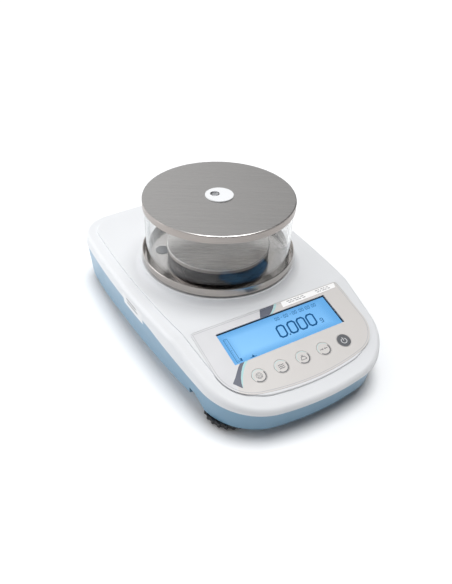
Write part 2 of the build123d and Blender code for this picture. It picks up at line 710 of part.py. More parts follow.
def d_face(width, height, corner):
    """Outline of a D-shaped connector, long side up."""
    slope = height * tan(radians(10))
    half = width / 2
    top, low = height / 2, -height / 2
    points = [(-half, top), (half, top), (half - slope, low), (-half + slope, low)]
    face = make_face(Polyline(*points, close=True))
    return fillet(face.vertices(), corner)


def facing_rear(x, y, z):
    """Plane that faces the rear, for the sockets."""
    return Plane(origin=(x, y, z), x_dir=(-1, 0, 0), z_dir=(0, 1, 0))


def serial_shell():
    """Pressed shell and flange of the nine-way data connector."""
    place = facing_rear(SERIAL_X, PLATE_Y + 1.25, SOCKET_Z)
    shell = place * extrude(d_face(17.0, 8.4, 2.4), 5.6)
    shell -= place * Pos(0, 0, 0.9) * extrude(d_face(16.0, 7.4, 2.0), 6)
    flange = place * extrude(RectangleRounded(31.0, 12.5, 1.5), 0.8)
    for sx in (-1, 1):
        flange -= place * Pos(sx * 12.5, 0, 0) * Cylinder(1.7, 4)
    return shell + flange


def serial_pins():
    """Insulator with nine contact pins in two rows."""
    place = facing_rear(SERIAL_X, PLATE_Y + 2.2, SOCKET_Z)
    block = place * extrude(d_face(15.8, 7.2, 1.9), 1.2)
    for count, row in ((5, 1.4), (4, -1.4)):
        for i in range(count):
            x = (i - (count - 1) / 2) * 2.76
            block += place * Pos(x, row, 2.6) * Cylinder(0.5, 3.6)
    return block


def serial_jackscrews():
    nuts = []
    for sx in (-1, 1):
        place = facing_rear(SERIAL_X + sx * 12.5, PLATE_Y + 2.07, SOCKET_Z)
        nut = place * extrude(RegularPolygon(2.7, 6), 4.6)
        nut -= place * Pos(0, 0, 3.0) * Cylinder(1.3, 4)
        nuts.append(nut + place * Pos(0, 0, -2.4) * Cylinder(1.4, 5))
    return nuts


def level_cup():
    """Cup of the round spirit level, let into the plateau."""
    x, y = LEVEL_XY
    cup = rod(LEVEL_R, PLATEAU_Z - 9, PLATEAU_Z + 0.3, x, y)
    cup -= rod(LEVEL_R - 1.4, PLATEAU_Z - 7, PLATEAU_Z + 1, x, y)
    lip = rod(LEVEL_R + 1.4, PLATEAU_Z + 0.02, PLATEAU_Z + 0.7, x, y)
    return cup + (lip - rod(LEVEL_R - 1.4, PLATEAU_Z - 1, PLATEAU_Z + 1, x, y))


def level_vial():
    """Liquid-filled vial with a domed window."""
    x, y = LEVEL_XY
    vial = rod(LEVEL_R - 1.5, PLATEAU_Z - 6.9, PLATEAU_Z + 0.4, x, y)
    return fillet(vial.edges().sort_by(Axis.Z)[-1:], 0.8)


# ------------------------------------------------------------------ levelling feet
def foot_insert(x, y):
    """Threaded brass insert in the tray's foot boss."""
    return rod(4.95, BELLY_Z + 0.1, STUD_TOP_Z + 1.5, x, y) - rod(STUD_R + RUNNING, 0, 40, x, y)


def foot_pad(x, y):
    """Rubber pad on a pin; it stays still on the table while the wheel turns."""
    pad = rod(PAD_R, 0, PAD_H, x, y)
    pad = fillet(pad.edges(), 0.7)
    return pad + rod(3.5, PAD_H - 0.1, PAD_H + 3.0, x, y)


def foot_screw(x, y):
    """Wide lobed hand wheel with its threaded stud."""
    z0 = PAD_H + 0.1
    disc = Circle(FOOT_R - 1.3)
    for i in range(FOOT_LOBES):
        disc += Rot(0, 0, 360 * i / FOOT_LOBES) * Pos(FOOT_R - LOBE_R, 0) * Circle(LOBE_R)
    wheel = extrude(Pos(x, y, z0) * disc, WHEEL_H)
    wheel += rod(STUD_R, z0 + WHEEL_H - 0.1, STUD_TOP_Z, x, y)
    return wheel - rod(3.5 + RUNNING, z0 - 1, z0 + 3.2, x, y)


# ------------------------------------------------------------------ write every node
NODES = {
    "upper_housing": upper_housing,
    "lower_housing": lower_housing,
    "keypad_overlay": keypad_overlay,
    "display_window": display_window,
    "lcd_glass": lcd_glass,
    "lcd_backlight": lcd_backlight,
    "lcd_frame": lcd_frame,
    "display_board": display_board,
    "display_ribbon": display_ribbon,
    "chamber_floor": chamber_floor,
    "floor_gasket": floor_gasket,
    "floor_plug": floor_plug,
    "draft_ring": draft_ring,
    "spindle_collar": spindle_collar,
    "shield_glass": shield_glass,
    "shield_lid": shield_lid,
    "lid_insert": lid_insert,
    "weighing_pan": weighing_pan,
    "pan_support": pan_support,
    "pan_spindle": pan_spindle,
    "load_adapter": load_adapter,
    "load_cell": load_cell,
    "mechanism_base": mechanism_base,
    "overload_stop": overload_stop,
    "signal_board": signal_board,
    "signal_shield": signal_shield,
    "main_board": main_board,
    "connector_panel": connector_panel,
    "power_socket": power_socket,
    "serial_shell": serial_shell,
    "serial_pins": serial_pins,
    "level_cup": level_cup,
    "level_vial": level_vial,
}
for name, make in NODES.items():
    save(name, make())

GROUPS = {
    "housing_screws": housing_screws,
    "display_screws": display_screws,
    "key_switches": key_switches,
    "support_bumpers": support_bumpers,
    "adapter_screws": adapter_screws,
    "mechanism_screws": mechanism_screws,
    "cell_screws": cell_screws,
    "signal_posts": signal_posts,
    "main_board_parts": main_board_parts,
    "board_screws": board_screws,
    "serial_jackscrews": serial_jackscrews,
}
for name, make in GROUPS.items():
    save(name, *make())

KEY_NAMES = ("print", "menu", "calibrate", "tare", "power")
for name, x in zip(KEY_NAMES, key_places()):
    save(f"key_{name}", key(x))

save("foot_inserts", *[foot_insert(x, y) for x, y in foot_places().values()])
for name, (x, y) in foot_places().items():
    save(f"foot_pad_{name}", foot_pad(x, y))
    save(f"foot_screw_{name}", foot_screw(x, y))
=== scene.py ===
import json
import math
import bpy
import bmesh
from mathutils import Matrix, Vector


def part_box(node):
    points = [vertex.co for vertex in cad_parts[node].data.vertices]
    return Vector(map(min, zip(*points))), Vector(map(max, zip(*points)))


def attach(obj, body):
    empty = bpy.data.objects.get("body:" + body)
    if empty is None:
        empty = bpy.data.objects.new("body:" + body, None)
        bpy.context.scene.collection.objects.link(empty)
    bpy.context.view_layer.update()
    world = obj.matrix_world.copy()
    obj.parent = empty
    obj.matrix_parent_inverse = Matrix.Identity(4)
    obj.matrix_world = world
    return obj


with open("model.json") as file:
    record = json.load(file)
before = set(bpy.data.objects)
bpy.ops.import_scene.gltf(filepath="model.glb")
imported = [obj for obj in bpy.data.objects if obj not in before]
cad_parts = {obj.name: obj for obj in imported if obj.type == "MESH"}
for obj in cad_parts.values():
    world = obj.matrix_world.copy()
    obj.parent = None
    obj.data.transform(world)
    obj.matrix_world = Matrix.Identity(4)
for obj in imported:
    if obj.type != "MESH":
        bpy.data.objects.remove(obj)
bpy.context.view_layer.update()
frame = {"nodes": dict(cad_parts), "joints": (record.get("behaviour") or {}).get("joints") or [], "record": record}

# Lengths in this script are millimetres, and MM turns them into Blender's metres.
MM = 0.001

# ------------------------------------------------------------------ camera and light
CAMERA_AT = (-268.0, -426.9, 419.8)
CAMERA_AZIMUTH = -31.86
CAMERA_DOWN = 37.54
CAMERA_ROLL = 1.977
CAMERA_LENS = 37.45
FLOOR_HALF = 30000.0
FLOOR_DROP = 0.2       # below the feet, so that the two faces never coincide
SUN_POWER = 2.55
SUN_SPREAD = 34.0
SUN_TOWARDS = (-0.13, -0.06, -1)
# Soft boxes: place, point aimed at, width and height, power.
SOFT_BOXES = {
    "left_rear": ((-560, 380, 300), (-90, 120, 40), (380, 300), 0.85),
    "lid_glow": ((520, 900, 780), (0, 22, 130), (900, 700), 0.85),
}
# Brightness of the surround: in front, behind, and in the low band at the horizon.
WORLD_FRONT = 0.07
WORLD_REAR = 1.05
WORLD_HORIZON = 0.42
WORLD_LEAN = -1.3      # how much of "behind" also counts to the left

# ------------------------------------------------------------------ panel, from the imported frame
PRESS = next(j for j in frame["joints"] if j["name"] == "print_press")
PANEL_OUT = -Vector(PRESS["axis"]).normalized()
PANEL_RIGHT = Vector((1, 0, 0))
PANEL_UP = PANEL_OUT.cross(PANEL_RIGHT)
FILM_LOW, FILM_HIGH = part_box("keypad_overlay")
FILM_T = 0.46
FILM_EDGE = 2.6        # from the bend of the panel down to the film's top edge
PRINT_T = 0.05
KEYS = ("print", "menu", "calibrate", "tare", "power")
FILM_LEFT = (0.62, 0.62, 0.635, 1)
FILM_RIGHT = (0.60, 0.575, 0.555, 1)
FILM_FRONT = 87.0      # down the panel to the film's front edge
FILM_FRONT_R = 250.0
FILM_CORNER_R = 34.0

# Printed swoosh, as (x, down) points; its middle line falls to the left and bends a little.
SWOOSH_TOP_X = 7.1
SWOOSH_FALL = -1.302
SWOOSH_CURVE = 0.0106
SWOOSH_UPPER = [(-7.6, 3.0), (8.3, 3.0), (5.6, 6.4), (1.8, 9.6), (-1.9, 12.0), (-12.4, 12.0), (-10.2, 7.8)]
SWOOSH_UPPER_EDGE = [
    (8.6, 3.0), (11.4, 3.0), (8.6, 6.6), (4.6, 9.9), (1.0, 12.0), (-1.4, 12.0), (2.3, 9.6), (6.1, 6.4),
]
SWOOSH_LOWER_LEFT = [(-55.2, 47.45), (-58.6, 50.2), (-62.4, 54.2), (-66.4, 58.4), (-71.2, 62.6)]
SWOOSH_LOWER_RIGHT = [
    (-65.5, 70.0), (-64.0, 65.0), (-62.0, 60.6), (-58.6, 55.4), (-54.8, 51.0), (-50.6, 47.45),
]
SWOOSH_LOWER_EDGE = [
    (-65.3, 70.2), (-62.7, 65.0), (-60.0, 60.4), (-56.2, 55.4), (-51.6, 50.8), (-46.8, 47.45),
]

# Blank labels: a strip on the panel with two groups of bars, and a sticker on the left side.
LABEL_STRIP = [(16.2, 3.2), (80.4, 3.2), (78.6, 8.6), (15.0, 9.6)]
LABEL_LIFT = PRINT_T * 1.4
LABEL_BAR_GROUPS = ((22.0, 3.4), (56.0, 2.6))    # start and bar width of each group
LABEL_BARS = 5
LABEL_BAR_GAP = 0.7
LABEL_ROW_TOP = 4.4
LABEL_ROW_STEP = 2.0
LABEL_ROW_SHIFT = 1.2
LABEL_BAR_H = 0.9
SIDE_LABEL = (26.0, -14.0, 41.0, 54.0)           # y from and to, z from and to
SIDE_BARS = ((18.0, -3.0, 50.8, 52.4), (16.0, -6.0, 48.0, 49.3))

# Display, seen through the window
DISPLAY_DEPTH = 2.6
INK_LIFT = -DISPLAY_DEPTH + 0.06
GASKET_TOP = -1.54
WINDOW_X = 0.6
WINDOW_MID = 29.7
WINDOW_W = 121.4
WINDOW_H = 35.4
DIGIT_TOP = 25.1
DIGIT_H = 12.5
DIGIT_W = 7.9
DIGIT_STROKE = 1.7
DIGIT_X = (-4.4, 7.7, 18.5, 29.3)
DECIMAL_POINT = (4.9, 36.8, 6.5, 38.3)
UNIT = (41.6, 33.6, 4.4, 3.0, 0.7)               # x, top, height, width, stroke
SLANT = 0.10
# Unset clock line: pairs of zeros with two dashes, so that it states no date or time.
CLOCK_TOP = 15.9
CLOCK_FIGURE = (3.2, 1.7, 0.5)                   # height, width, stroke
CLOCK_STEP = 2.8
CLOCK_PAIRS = (1.1, 11.0, 21.1, 29.0, 36.3, 43.6)
CLOCK_DASHES = (7.6, 17.8)
LOAD_BAR_X = (-55.6, -52.0)
LOAD_BAR_LEFT = (18.6, 44.4)
LOAD_BAR_RIGHT = (18.4, 44.0)
TICK_X = -54.9
TICK_TOP = 20.0
TICK_STEP = 2.3
TICKS = 11

# Eyelet in the dimple of the lid's disc
DIMPLE_OFFSET = (-3.4, 3.2, 0.0)
EYELET_R = 4.1
EYELET_T = 0.6


def panel_origin():
    """Point on the film's face at x = 0, on the bend line above the film's top edge."""
    edge = Vector((0, FILM_HIGH.y - FILM_T * MM * -PANEL_OUT.y, FILM_HIGH.z))
    return edge + PANEL_UP * FILM_EDGE * MM


ORIGIN = panel_origin()


def on_panel(x, down, lift=0.0):
    """Point on the panel in metres: x across, down the slope, lift out of the film's face."""
    return ORIGIN + (PANEL_RIGHT * x - PANEL_UP * down + PANEL_OUT * lift) * MM


def key_centre(name):
    """Centre of a key's disc as (x, down) on the panel."""
    low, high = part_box(f"key_{name}")
    radius = (high.x - low.x) / 2
    y = low.y + radius * PANEL_UP.y
    return (low.x + high.x) / 2 / MM, (ORIGIN.y - y) / PANEL_UP.y / MM


# ------------------------------------------------------------------ material nodes
class Graph:
    """Writes a material's node tree; every call returns the socket that it makes."""

    def __init__(self, name):
        self.material = bpy.data.materials.new(name)
        self.material.use_nodes = True
        self.tree = self.material.node_tree
        self.tree.nodes.clear()
        self.place = self.add("ShaderNodeTexCoord").outputs["Object"]

    def add(self, kind, settings=None, **values):
        made = self.tree.nodes.new(kind)
        for key, value in (settings or {}).items():
            setattr(made, key, value)
        for key, value in values.items():
            self.set(made.inputs[key.replace("_", " ")], value)
        return made

    def set(self, socket, value):
        if isinstance(value, bpy.types.NodeSocket):
            self.tree.links.new(value, socket)
        else:
            socket.default_value = value

    def math(self, operation, a, b=0.0, c=0.0):
        made = self.add("ShaderNodeMath", {"operation": operation})
        for socket, value in zip(made.inputs, (a, b, c)):
            self.set(socket, value)
        return made.outputs[0]

    def mix(self, share, a, b):
        made = self.add("ShaderNodeMix", {"data_type": "RGBA"})
        for index, value in ((0, share), (6, a), (7, b)):
            self.set(made.inputs[index], value)
        return made.outputs[2]

    def spread(self, value, low, high, to_low, to_high):
        made = self.add("ShaderNodeMapRange", {"interpolation_type": "SMOOTHSTEP"})
        for index, number in enumerate((value, low, high, to_low, to_high)):
            self.set(made.inputs[index], number)
        return made.outputs[0]

    def mapped(self, scale=(1, 1, 1), turn=0.0, at=(0, 0, 0)):
        made = self.add("ShaderNodeMapping", {"vector_type": "TEXTURE"}, Vector=self.place)
        made.inputs["Rotation"].default_value = (0, 0, math.radians(turn))
        made.inputs["Location"].default_value = at
        made.inputs["Scale"].default_value = [1 / s for s in scale]
        return made.outputs[0]

    def noise(self, scale, detail=2.0, vector=None, rough=0.5):
        made = self.add("ShaderNodeTexNoise", Vector=vector or self.place)
        made.inputs["Scale"].default_value = scale
        made.inputs["Detail"].default_value = detail
        made.inputs["Roughness"].default_value = rough
        return made.outputs[0]

    def axes(self, vector=None):
        return self.add("ShaderNodeSeparateXYZ", Vector=vector or self.place).outputs

    def bump(self, height, strength, depth):
        made = self.add("ShaderNodeBump", Height=height)
        made.inputs["Strength"].default_value = strength
        made.inputs["Distance"].default_value = depth * MM
        return made.outputs[0]

    def finish(self, shader):
        output = self.add("ShaderNodeOutputMaterial")
        self.tree.links.new(shader.outputs[0], output.inputs["Surface"])
        return self.material

    def principled(self, colour, rough, **values):
        return self.add("ShaderNodeBsdfPrincipled", Base_Color=colour, Roughness=rough, **values)


def shade(colour, factor):
    """A colour made lighter or darker, opaque."""
    return (*[min(1.0, c * factor) for c in colour[:3]], 1.0)


def moulded(name, colour, rough=0.4, grain=0.12, grain_scale=2600.0, drift=0.025, dust=0.0,
            specular=0.5):
    """Moulded plastic: slow colour drift, fine spark-eroded grain, roughness that varies a little."""
    g = Graph(name)
    slow = g.noise(22.0, 3.0)
    tint = g.mix(slow, shade(colour, 1 - drift), shade(colour, 1 + drift))
    fine = g.noise(grain_scale, 2.0)
    if dust:
        settled = g.spread(g.noise(90.0, 5.0), 0.5, 0.75, 0.0, dust)
        tint = g.mix(settled, tint, (0.5, 0.48, 0.45, 1))
    uneven = g.spread(g.noise(60.0, 3.0), 0.3, 0.7, rough - 0.02, rough + 0.03)
    shader = g.principled(tint, uneven, Normal=g.bump(fine, grain, 0.06), Specular_IOR_Level=specular)
    return g.finish(shader)


def brushed(name, colour, rough=0.3, turn=-32.0, line=1500.0, depth=0.12, contrast=0.12,
            rim_colour=None, wall_metal=1.0, edge_metal=1.0, painted_edge_highlight=0.0):
    """Brushed steel: long streaks across flat faces and round the turned walls.

    wall_metal and edge_metal below 1 make the walls and rolled edges partly matt, and
    the last argument sets how much pale tint is painted onto the rolled edges as a highlight.
    """
    g = Graph(name)
    upright = g.axes(g.add("ShaderNodeNewGeometry").outputs["Normal"])[2]
    flat = g.spread(g.math("ABSOLUTE", upright), 0.6, 0.8, 0.0, 1.0)
    across = g.noise(1.0, 4.0, g.mapped((9.0, line, 60.0), turn), 0.6)
    around = g.noise(1.0, 4.0, g.mapped((14.0, 14.0, 2.4 * line)), 0.6)
    streak = g.mix(flat, around, across)
    broad = g.noise(1.0, 2.0, g.mapped((5.0, 90.0, 40.0), turn))
    level = g.math("MULTIPLY_ADD", broad, 0.12, g.math("MULTIPLY", streak, 0.88))
    wall = rim_colour or colour
    dark = g.mix(flat, shade(wall, 1 - contrast), shade(colour, 1 - contrast))
    light = g.mix(flat, shade(wall, 1 + contrast), shade(colour, 1 + contrast))
    tint = g.mix(g.spread(level, 0.3, 0.7, 0.0, 1.0), dark, light)
    uneven = g.spread(level, 0.3, 0.7, rough - 0.07, rough + 0.07)
    rounded = g.spread(upright, 0.2, 0.35, 0.0, 1.0)
    edge = g.math("MULTIPLY", rounded, g.spread(upright, 0.96, 0.99, 1.0, 0.0))
    # Painted highlight: a pale tint laid on the rolled edges in place of the light they would catch.
    tint = g.mix(g.math("MULTIPLY", edge, painted_edge_highlight), tint, (0.93, 0.91, 0.89, 1))
    shader = g.principled(tint, uneven, Normal=g.bump(streak, depth, 0.03))
    shader.inputs["Metallic"].default_value = 1.0
    if wall_metal < 1.0:
        on_wall = g.math("MULTIPLY_ADD", flat, 1.0 - wall_metal, wall_metal)
        metal = g.math("MULTIPLY_ADD", edge, edge_metal - 1.0, on_wall)
        g.set(shader.inputs["Metallic"], g.math("MAXIMUM", metal, 0.0))
    return g.finish(shader)


def machined(name, colour, rough=0.28, grain_scale=900.0, grain=0.15, stain=0.06):
    """Plain metal: milled, cast or plated, with small stains and fine tool marks."""
    g = Graph(name)
    patches = g.noise(70.0, 5.0)
    tint = g.mix(patches, shade(colour, 1 - stain), shade(colour, 1 + stain))
    marks = g.noise(1.0, 3.0, g.mapped((grain_scale, grain_scale * 0.12, grain_scale)))
    uneven = g.spread(patches, 0.3, 0.7, rough - 0.06, rough + 0.08)
    shader = g.principled(tint, uneven, Normal=g.bump(marks, grain, 0.03))
    shader.inputs["Metallic"].default_value = 1.0
    return g.finish(shader)


def clear(name, tint, gloss=0.02, ior=1.45):
    """Clear glass or liquid that lets the lamps light what stands behind it."""
    g = Graph(name)
    wave = g.noise(18.0, 2.0)
    colour = g.mix(wave, shade(tint, 0.985), (*tint, 1.0))
    glass = g.add("ShaderNodeBsdfGlass", Color=colour)
    glass.inputs["Roughness"].default_value = gloss
    glass.inputs["IOR"].default_value = ior
    through = g.add("ShaderNodeBsdfTransparent", Color=(*tint, 1.0))
    shadow = g.add("ShaderNodeLightPath").outputs["Is Shadow Ray"]
    either = g.add("ShaderNodeMixShader")
    g.set(either.inputs[0], shadow)
    g.tree.links.new(glass.outputs[0], either.inputs[1])
    g.tree.links.new(through.outputs[0], either.inputs[2])
    return g.finish(either)


def pane(name, tint):
    """Thin flat window: what is behind shows straight through, under a weak gloss."""
    g = Graph(name)
    facing = g.add("ShaderNodeLayerWeight").outputs["Facing"]
    shine = g.math("MULTIPLY_ADD", g.math("POWER", facing, 4.0), 0.4, 0.008)
    smear = g.spread(g.noise(60.0, 4.0), 0.4, 0.8, 0.04, 0.12)
    gloss = g.add("ShaderNodeBsdfGlossy", Roughness=smear)
    through = g.add("ShaderNodeBsdfTransparent", Color=(*tint, 1.0))
    either = g.add("ShaderNodeMixShader")
    g.set(either.inputs[0], shine)
    g.tree.links.new(through.outputs[0], either.inputs[1])
    g.tree.links.new(gloss.outputs[0], either.inputs[2])
    return g.finish(either)


# ------------------------------------------------------------------ materials of the object
def film_material():
    """Printed film: light grey left of the swoosh, warm grey right of it, fine satin texture."""
    g = Graph("film_print")
    x, y, _ = g.axes()[:3]
    warm = film_zone(g, x, y)
    tint = g.mix(warm, FILM_LEFT, FILM_RIGHT)
    tint = g.mix(g.spread(g.noise(35.0, 3.0), 0.3, 0.7, 0.0, 0.05), tint, (0.7, 0.7, 0.72, 1))
    fine = g.noise(5200.0, 1.0)
    uneven = g.spread(g.noise(120.0, 3.0), 0.3, 0.7, 0.34, 0.46)
    return g.finish(g.principled(tint, uneven, Normal=g.bump(fine, 0.10, 0.03)))


def film_zone(g, x, y):
    """0 left of the printed swoosh and 1 right of it, along the swoosh's own curve."""
    down = g.math("DIVIDE", g.math("SUBTRACT", ORIGIN.y, y), PANEL_UP.y * MM)
    bend = g.math("MULTIPLY", g.math("SUBTRACT", down, 2.0), g.math("SUBTRACT", down, 50.0))
    line = g.math("MULTIPLY_ADD", down, SWOOSH_FALL, SWOOSH_TOP_X)
    line = g.math("MULTIPLY_ADD", bend, SWOOSH_CURVE, line)
    past = g.math("SUBTRACT", g.math("DIVIDE", x, MM), line)
    return g.spread(past, -1.0, 1.0, 0.0, 1.0)


def lit_display():
    """Backlit display: brightest towards the lower left, with painted shade at its edges, faintly grained."""
    g = Graph("lcd_lit")
    x, y, _ = g.axes()[:3]
    low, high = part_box("lcd_glass")
    right = g.spread(x, low.x, high.x, 0.0, 1.0)
    up = g.spread(y, low.y, high.y, 0.0, 1.0)
    far = g.math("ADD", g.math("MULTIPLY", right, 0.6), g.math("MULTIPLY", up, 0.4))
    tint = g.mix(far, (0.33, 0.66, 1.0, 1), (0.19, 0.47, 0.84, 1))
    tint = g.mix(g.spread(g.noise(900.0, 1.0), 0.35, 0.65, 0.0, 0.06), tint, (0.12, 0.38, 0.78, 1))
    # Painted shade: a darker blue mixed in towards the display's edges, standing for the shade of the window's
    # recess.
    off = [g.math("ABSOLUTE", g.math("SUBTRACT", g.math("DIVIDE", g.math("SUBTRACT", v, a), b - a), 0.5))
           for v, a, b in ((x, low.x, high.x), (y, low.y, high.y))]
    side, end = g.spread(off[0], 0.36, 0.47, 0.0, 1.0), g.spread(off[1], 0.20, 0.42, 0.0, 1.0)
    edge = g.math("MAXIMUM", side, end)
    tint = g.mix(g.math("MULTIPLY", edge, 0.8), tint, (0.13, 0.38, 0.72, 1))
    shader = g.principled((0.02, 0.07, 0.13, 1), 0.45, Emission_Color=tint, Specular_IOR_Level=0.05)
    shader.inputs["Emission Strength"].default_value = 0.94
    return g.finish(shader)


def glossy_dark(name, colour, rough):
    """Dark plated ring: smooth, with faint turning lines."""
    g = Graph(name)
    lines = g.noise(1.0, 3.0, g.mapped((12.0, 12.0, 5000.0)))
    tint = g.mix(lines, shade(colour, 0.8), shade(colour, 1.2))
    uneven = g.spread(g.noise(140.0, 4.0), 0.3, 0.7, rough - 0.03, rough + 0.06)
    shader = g.principled(tint, uneven, Normal=g.bump(lines, 0.05, 0.02))
    shader.inputs["Metallic"].default_value = 1.0
    return g.finish(shader)


def board(name):
    """Circuit board: green mask with copper tracks showing as paler lines."""
    g = Graph(name)
    tracks = g.add("ShaderNodeTexVoronoi", {"distance": "MANHATTAN", "feature": "DISTANCE_TO_EDGE"})
    g.set(tracks.inputs["Vector"], g.place)
    tracks.inputs["Scale"].default_value = 260.0
    line = g.spread(tracks.outputs[0], 0.02, 0.07, 1.0, 0.0)
    tint = g.mix(line, (0.012, 0.10, 0.045, 1), (0.03, 0.20, 0.08, 1))
    return g.finish(g.principled(tint, 0.35, Normal=g.bump(line, 0.2, 0.03)))


def dish_steel():
    """Dish: mirror-bright worn floor, brushed rim."""
    return brushed("steel_dish", (0.56, 0.53, 0.51), rough=0.17, line=2600.0, depth=0.03,
                   contrast=0.03, rim_colour=(0.44, 0.41, 0.385))


def pan_steel():
    """Weighing pan: finely brushed top, brownish wall, painted highlight on the rolled edge."""
    return brushed("steel_pan", (0.66, 0.63, 0.61), rough=0.26, line=4200.0, depth=0.02, contrast=0.015,
                   rim_colour=(0.50, 0.45, 0.42), wall_metal=0.45, edge_metal=0.3, painted_edge_highlight=0.7)


# A maker for each material slot of the record; key_film is the film's own material.
FINISHES = {
    "shell_white": lambda: moulded("abs_white", (0.70, 0.71, 0.725), rough=0.42, specular=0.3, grain=0.05),
    "tray_blue": lambda: moulded("abs_blue", (0.15, 0.29, 0.41), rough=0.3, drift=0.05, specular=0.8,
                                 grain=0.02),
    "overlay_film": film_material,
    "key_film": lambda: bpy.data.materials["film_print"],
    "window_clear": lambda: pane("window_acrylic", (0.97, 0.985, 1.0)),
    "lcd_blue": lit_display,
    "backlight_white": lambda: moulded("light_guide", (0.8, 0.84, 0.9), rough=0.25, grain=0.05),
    "steel_plain": lambda: machined("steel_pressed", (0.55, 0.55, 0.56)),
    "steel_brushed": lambda: brushed("steel_brushed", (0.43, 0.42, 0.41), line=3200.0, depth=0.05,
                                     contrast=0.035, rim_colour=(0.36, 0.33, 0.31)),
    "ring_dark": lambda: glossy_dark("black_nickel", (0.030, 0.022, 0.022), rough=0.30),
    "board_green": lambda: board("board_mask"),
    "part_black": lambda: moulded("nylon_black", (0.022, 0.022, 0.025), rough=0.5, dust=0.06),
    "cast_alloy": lambda: machined("alloy_cast", (0.46, 0.46, 0.47), rough=0.5, grain_scale=500.0,
                                   grain=0.5),
    "alloy_machined": lambda: machined("alloy_milled", (0.68, 0.68, 0.70)),
    "screw_steel": lambda: machined("steel_zinc", (0.58, 0.58, 0.56), rough=0.3, stain=0.12),
    "brass": lambda: machined("brass_turned", (0.72, 0.52, 0.22), rough=0.25),
    "rubber_black": lambda: moulded("rubber_pad", (0.02, 0.02, 0.02), rough=0.75, grain=0.3, dust=0.12),
    "foot_black": lambda: moulded("wheel_nylon", (0.012, 0.012, 0.014), rough=0.45, dust=0.05),
    "foam_grey": lambda: moulded("foam_cell", (0.05, 0.05, 0.05), rough=0.9, grain=0.9,
                                 grain_scale=1400.0),
    "plug_grey": lambda: moulded("plug_nylon", (0.16, 0.175, 0.20), rough=0.4),
    "insert_white": lambda: moulded("acetal_white", (0.80, 0.81, 0.82), rough=0.3, grain=0.05),
    "glass_clear": lambda: clear("shield_clear", (0.985, 0.99, 0.99)),
    "level_liquid": lambda: clear("level_fluid", (0.55, 0.80, 0.18), ior=1.35),
    "connector_plate": lambda: moulded("powder_coat", (0.62, 0.64, 0.66), rough=0.5, grain=0.35,
                                       grain_scale=1700.0),
    "ribbon_grey": lambda: moulded("ribbon_pvc", (0.30, 0.31, 0.33), rough=0.4),
}


def finish_cad_nodes():
    """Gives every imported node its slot's material, and the dish and the pan their own steel."""
    slot_of = {part["node"]: part["material_slot"] for part in frame["record"]["subparts"]}
    made = {slot: make() for slot, make in FINISHES.items()}
    special = {"chamber_floor": dish_steel(), "weighing_pan": pan_steel()}
    for name, node in frame["nodes"].items():
        node.data.materials.clear()
        node.data.materials.append(special.get(name) or made[slot_of[name]])


# ------------------------------------------------------------------ thin printed pieces on the panel
def add_piece(name, bm, material, body):
    """Turns a built mesh into a named piece that rides on a body and takes a slot."""
    mesh = bpy.data.meshes.new(name)
    bmesh.ops.recalc_face_normals(bm, faces=bm.faces)
    bm.to_mesh(mesh)
    bm.free()
    mesh.materials.append(material)
    piece = bpy.data.objects.new(name, mesh)
    bpy.context.scene.collection.objects.link(piece)
    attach(piece, body)
    return piece


def prism(bm, outline, place, low, high):
    """Closed plate over an outline of (x, down) points, between two lifts set by place."""
    rings = [[bm.verts.new(place(x, d, lift)) for x, d in outline] for lift in (low, high)]
    count = len(outline)
    bm.faces.new(rings[0])
    bm.faces.new(list(reversed(rings[1])))
    for i in range(count):
        j = (i + 1) % count
        bm.faces.new([rings[0][i], rings[1][i], rings[1][j], rings[0][j]])


def band(bm, inner, outer, place, low, high):
    """Closed ring between two outlines with the same number of points."""
    count = len(inner)
    rows = [[bm.verts.new(place(x, d, lift)) for x, d in line]
            for line, lift in ((inner, low), (outer, low), (outer, high), (inner, high))]
    for i in range(count):
        j = (i + 1) % count
        for row in range(4):
            after = rows[(row + 1) % 4]
            bm.faces.new([rows[row][i], rows[row][j], after[j], after[i]])


def printed(name, outlines, material, body="base", lift=0.0, thick=PRINT_T):
    """One piece of print on the panel, made of closed plates."""
    bm = bmesh.new()
    for outline in outlines:
        prism(bm, outline, on_panel, lift, lift + thick)
    return add_piece(name, bm, material, body)


def arc(x, down, inner, outer, start, end, steps=28):
    """Outline of an arc-shaped stroke; angles in degrees, 0 to the right, 90 up the slope."""
    turns = [math.radians(start + (end - start) * i / steps) for i in range(steps + 1)]
    far = [(x + outer * math.cos(a), down - outer * math.sin(a)) for a in turns]
    near = [(x + inner * math.cos(a), down - inner * math.sin(a)) for a in reversed(turns)]
    return far + near


def disc(x, down, radius, steps=40):
    """Round outline."""
    turns = [2 * math.pi * i / steps for i in range(steps)]
    return [(x + radius * math.cos(a), down - radius * math.sin(a)) for a in turns]


def bar(x0, d0, x1, d1, width):
    """Straight stroke from one point to another."""
    along = Vector((x1 - x0, d1 - d0)).normalized() * width / 2
    px, pd = -along.y, along.x
    return [(x0 + px, d0 + pd), (x1 + px, d1 + pd), (x1 - px, d1 - pd), (x0 - px, d0 - pd)]


def plate(x0, d0, x1, d1):
    """Square-cornered outline between two opposite corners."""
    return [(x0, d0), (x1, d0), (x1, d1), (x0, d1)]


def swoosh():
    """The dark band and its thin edge line, above and below the display window."""
    dark = moulded("print_slate", (0.075, 0.085, 0.125), rough=0.4, grain=0.08)
    teal = moulded("print_teal", (0.36, 0.62, 0.63), rough=0.4, grain=0.08)
    printed("print_swoosh_upper", [SWOOSH_UPPER], dark)
    printed("print_swoosh_lower", [SWOOSH_LOWER_LEFT + SWOOSH_LOWER_RIGHT], dark)
    line = [(x + 0.15, d) for x, d in SWOOSH_LOWER_RIGHT]
    printed("print_swoosh_edge", [SWOOSH_UPPER_EDGE, line + list(reversed(SWOOSH_LOWER_EDGE))], teal)


